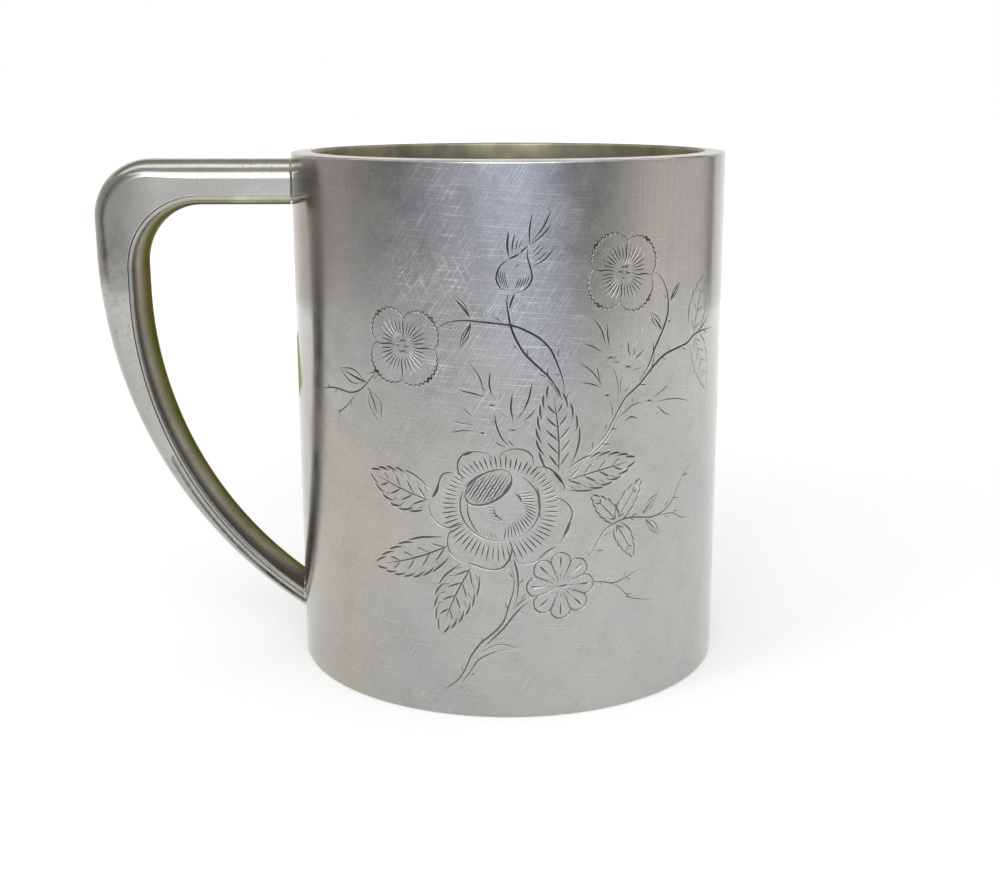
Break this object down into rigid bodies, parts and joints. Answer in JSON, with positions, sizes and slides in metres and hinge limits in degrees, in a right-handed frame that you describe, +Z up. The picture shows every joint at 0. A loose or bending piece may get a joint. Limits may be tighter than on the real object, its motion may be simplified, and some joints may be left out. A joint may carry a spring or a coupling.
{
  "type": "mug",
  "caption": "Straight-sided silver-plated drinking mug with a thick rounded rim, a flat base and a hollow ear-shaped side handle.",
  "frame": {"origin": "on the mug's axis, at the centre of the flat underside that it stands on", "axes": "+Z up along the mug's axis; the handle is towards -X; +Y points to the side away from the main spray of engraving"},
  "size_m": [0.1085, 0.074, 0.0885],
  "materials": {
    "silver_plate": "aged satin silver plate with fine scratches and light tarnish",
    "handle_plate": "aged silver plate, smoother than the body, grey tarnish in the hollows",
    "silver_solder": "plated-over solder, a little duller and darker than the sheet",
    "gilt_wash": "pale worn gold wash on the inside of the cup"
  },
  "bodies": {
    "root": {"body_wall": "silver_plate", "body_seam_solder": "silver_solder", "rim_wire": "silver_plate", "rim_solder_ring": "silver_solder", "base_plate": "silver_plate", "base_solder_ring": "silver_solder", "handle_outer_shell": "handle_plate", "handle_inner_strip": "handle_plate", "handle_front_seam_solder": "silver_solder", "handle_rear_seam_solder": "silver_solder", "upper_handle_solder": "silver_solder", "lower_handle_solder": "silver_solder"}
  },
  "joints": []
}
